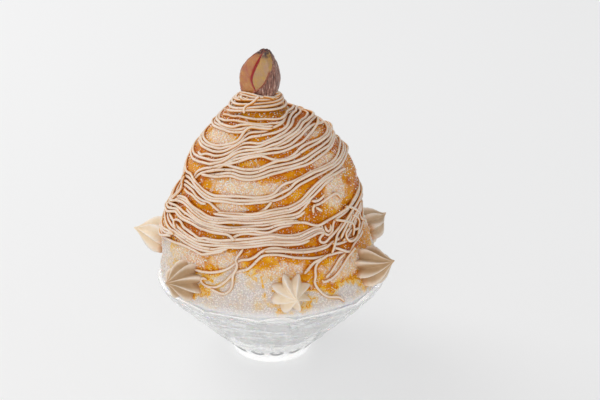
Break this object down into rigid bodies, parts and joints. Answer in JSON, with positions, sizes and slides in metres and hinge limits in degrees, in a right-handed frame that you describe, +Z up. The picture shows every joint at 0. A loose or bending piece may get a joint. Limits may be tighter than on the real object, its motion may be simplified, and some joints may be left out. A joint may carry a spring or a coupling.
{
  "type": "kakigori",
  "caption": "Tall dome of shaved ice in a footed clear glass bowl, wound with piped chestnut cream, ringed with meringue kisses and topped with half a candied chestnut.",
  "frame": {"origin": "centre of the flat underside of the bowl's foot", "axes": "+Z up along the bowl's axis, -Y towards the front, +X to the right"},
  "size_m": [0.1786, 0.1866, 0.2206],
  "materials": {
    "bowl_glass": "clear, hand-rippled glass",
    "syruped_ice": "moist snow-fine ice with amber syrup under pale chestnut cream",
    "chestnut_cream": "soft satin cream",
    "baked_meringue": "dry matt, pale on the ridges and tan between them",
    "candied_chestnut": "syrup-glazed cut flesh and satin brown skin"
  },
  "bodies": {
    "root": {"glass_bowl": "bowl_glass", "shaved_ice_and_cream": "syruped_ice", "meringue_1": "baked_meringue", "meringue_2": "baked_meringue", "meringue_3": "baked_meringue", "meringue_4": "baked_meringue", "meringue_5": "baked_meringue", "meringue_6": "baked_meringue", "meringue_7": "baked_meringue", "chestnut": "candied_chestnut"}
  },
  "joints": []
}
